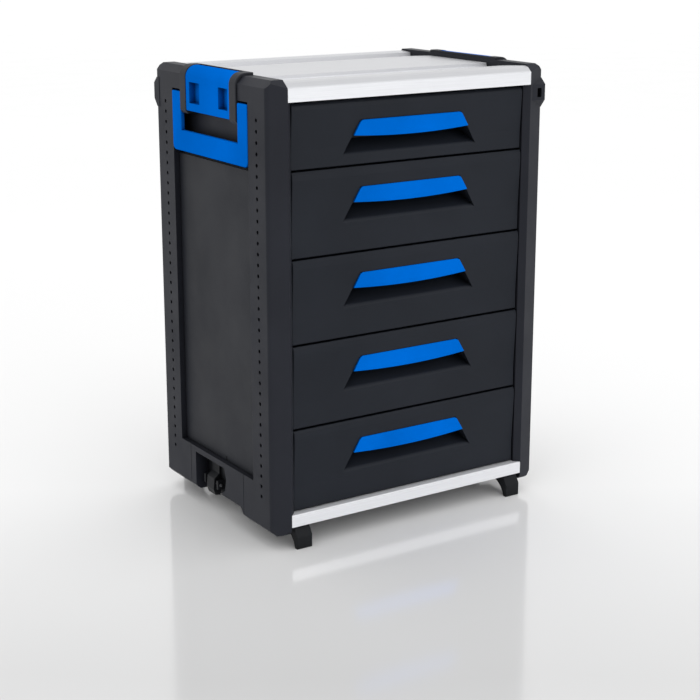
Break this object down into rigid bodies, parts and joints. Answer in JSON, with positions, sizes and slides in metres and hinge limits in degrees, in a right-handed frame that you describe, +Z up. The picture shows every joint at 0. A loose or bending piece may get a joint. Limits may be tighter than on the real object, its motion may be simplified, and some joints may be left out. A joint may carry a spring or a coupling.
{
  "type": "workbench with drawers",
  "caption": "Portable workshop cabinet with an aluminium worktop, full-extension drawers, folding side handles and stacking latches.",
  "frame": {"origin": "on the floor, in the middle of the footprint", "axes": "+X to the right across the drawer fronts, +Y to the rear (the fronts face -Y), +Z up"},
  "size_m": [0.56, 0.414, 0.7865],
  "materials": {
    "anthracite_plastic": "satin",
    "inlay_plastic": "satin",
    "brushed_aluminium": "brushed",
    "dark_steel_sheet": "satin",
    "foot_plastic": "matte",
    "surround_plastic": "matte",
    "blue_plastic": "satin",
    "catch_plastic": "satin",
    "steel_pin": "satin",
    "drawer_plastic": "satin",
    "tray_plastic": "satin",
    "slide_steel": "satin"
  },
  "bodies": {
    "cabinet": {"left_side_frame": "anthracite_plastic", "right_side_frame": "anthracite_plastic", "left_side_inlay": "inlay_plastic", "right_side_inlay": "inlay_plastic", "worktop": "brushed_aluminium", "bottom_front_rail": "brushed_aluminium", "base_plate": "dark_steel_sheet", "rear_panel": "dark_steel_sheet", "front_left_foot": "foot_plastic", "front_right_foot": "foot_plastic", "rear_left_foot": "foot_plastic", "rear_right_foot": "foot_plastic", "left_latch_surround": "surround_plastic", "right_latch_surround": "surround_plastic", "left_lower_catch": "catch_plastic", "right_lower_catch": "catch_plastic", "left_latch_pin": "steel_pin", "right_latch_pin": "steel_pin", "left_handle_pins": "steel_pin", "right_handle_pins": "steel_pin", "left_catch_pin": "steel_pin", "right_catch_pin": "steel_pin", "rear_panel_screws": "steel_pin", "foot_screws": "steel_pin", "slide_outer_1": "slide_steel", "slide_outer_2": "slide_steel", "slide_outer_3": "slide_steel", "slide_outer_4": "slide_steel", "slide_outer_5": "slide_steel"},
    "drawer_1": {"drawer_1_front": "drawer_plastic", "drawer_1_grip": "blue_plastic", "drawer_1_tray": "tray_plastic", "drawer_1_runners": "slide_steel"},
    "slide_middle_1": {"slide_middle_1": "slide_steel"},
    "drawer_2": {"drawer_2_front": "drawer_plastic", "drawer_2_grip": "blue_plastic", "drawer_2_tray": "tray_plastic", "drawer_2_runners": "slide_steel"},
    "slide_middle_2": {"slide_middle_2": "slide_steel"},
    "drawer_3": {"drawer_3_front": "drawer_plastic", "drawer_3_grip": "blue_plastic", "drawer_3_tray": "tray_plastic", "drawer_3_runners": "slide_steel"},
    "slide_middle_3": {"slide_middle_3": "slide_steel"},
    "drawer_4": {"drawer_4_front": "drawer_plastic", "drawer_4_grip": "blue_plastic", "drawer_4_tray": "tray_plastic", "drawer_4_runners": "slide_steel"},
    "slide_middle_4": {"slide_middle_4": "slide_steel"},
    "drawer_5": {"drawer_5_front": "drawer_plastic", "drawer_5_grip": "blue_plastic", "drawer_5_tray": "tray_plastic", "drawer_5_runners": "slide_steel"},
    "slide_middle_5": {"slide_middle_5": "slide_steel"},
    "left_latch": {"left_latch": "blue_plastic"},
    "left_carry_handle": {"left_carry_handle": "blue_plastic"},
    "right_latch": {"right_latch": "blue_plastic"},
    "right_carry_handle": {"right_carry_handle": "blue_plastic"}
  },
  "joints": [
    {"name": "drawer_1_slide", "type": "slide", "parent": "cabinet", "child": "drawer_1", "axis": [0, -1, 0], "range_m": [0, 0.3]},
    {"name": "slide_middle_1_slide", "type": "slide", "parent": "cabinet", "child": "slide_middle_1", "axis": [0, -1, 0], "range_m": [0, 0.15]},
    {"name": "drawer_2_slide", "type": "slide", "parent": "cabinet", "child": "drawer_2", "axis": [0, -1, 0], "range_m": [0, 0.3]},
    {"name": "slide_middle_2_slide", "type": "slide", "parent": "cabinet", "child": "slide_middle_2", "axis": [0, -1, 0], "range_m": [0, 0.15]},
    {"name": "drawer_3_slide", "type": "slide", "parent": "cabinet", "child": "drawer_3", "axis": [0, -1, 0], "range_m": [0, 0.3]},
    {"name": "slide_middle_3_slide", "type": "slide", "parent": "cabinet", "child": "slide_middle_3", "axis": [0, -1, 0], "range_m": [0, 0.15]},
    {"name": "drawer_4_slide", "type": "slide", "parent": "cabinet", "child": "drawer_4", "axis": [0, -1, 0], "range_m": [0, 0.3]},
    {"name": "slide_middle_4_slide", "type": "slide", "parent": "cabinet", "child": "slide_middle_4", "axis": [0, -1, 0], "range_m": [0, 0.15]},
    {"name": "drawer_5_slide", "type": "slide", "parent": "cabinet", "child": "drawer_5", "axis": [0, -1, 0], "range_m": [0, 0.3]},
    {"name": "slide_middle_5_slide", "type": "slide", "parent": "cabinet", "child": "slide_middle_5", "axis": [0, -1, 0], "range_m": [0, 0.15]},
    {"name": "left_latch_hinge", "type": "hinge", "parent": "cabinet", "child": "left_latch", "pos_m": [-0.2635, 0, 0.771], "axis": [0, 1, 0], "range_deg": [0, 165]},
    {"name": "left_carry_handle_hinge", "type": "hinge", "parent": "cabinet", "child": "left_carry_handle", "pos_m": [-0.2712, 0, 0.733], "axis": [0, 1, 0], "range_deg": [0, 90]},
    {"name": "right_latch_hinge", "type": "hinge", "parent": "cabinet", "child": "right_latch", "pos_m": [0.2635, 0, 0.771], "axis": [0, -1, 0], "range_deg": [0, 165]},
    {"name": "right_carry_handle_hinge", "type": "hinge", "parent": "cabinet", "child": "right_carry_handle", "pos_m": [0.2712, 0, 0.733], "axis": [0, -1, 0], "range_deg": [0, 90]}
  ],
  "couplings": [
    {"joint": "slide_middle_1_slide", "follows": "drawer_1_slide", "ratio": 0.5},
    {"joint": "slide_middle_2_slide", "follows": "drawer_2_slide", "ratio": 0.5},
    {"joint": "slide_middle_3_slide", "follows": "drawer_3_slide", "ratio": 0.5},
    {"joint": "slide_middle_4_slide", "follows": "drawer_4_slide", "ratio": 0.5},
    {"joint": "slide_middle_5_slide", "follows": "drawer_5_slide", "ratio": 0.5}
  ]
}
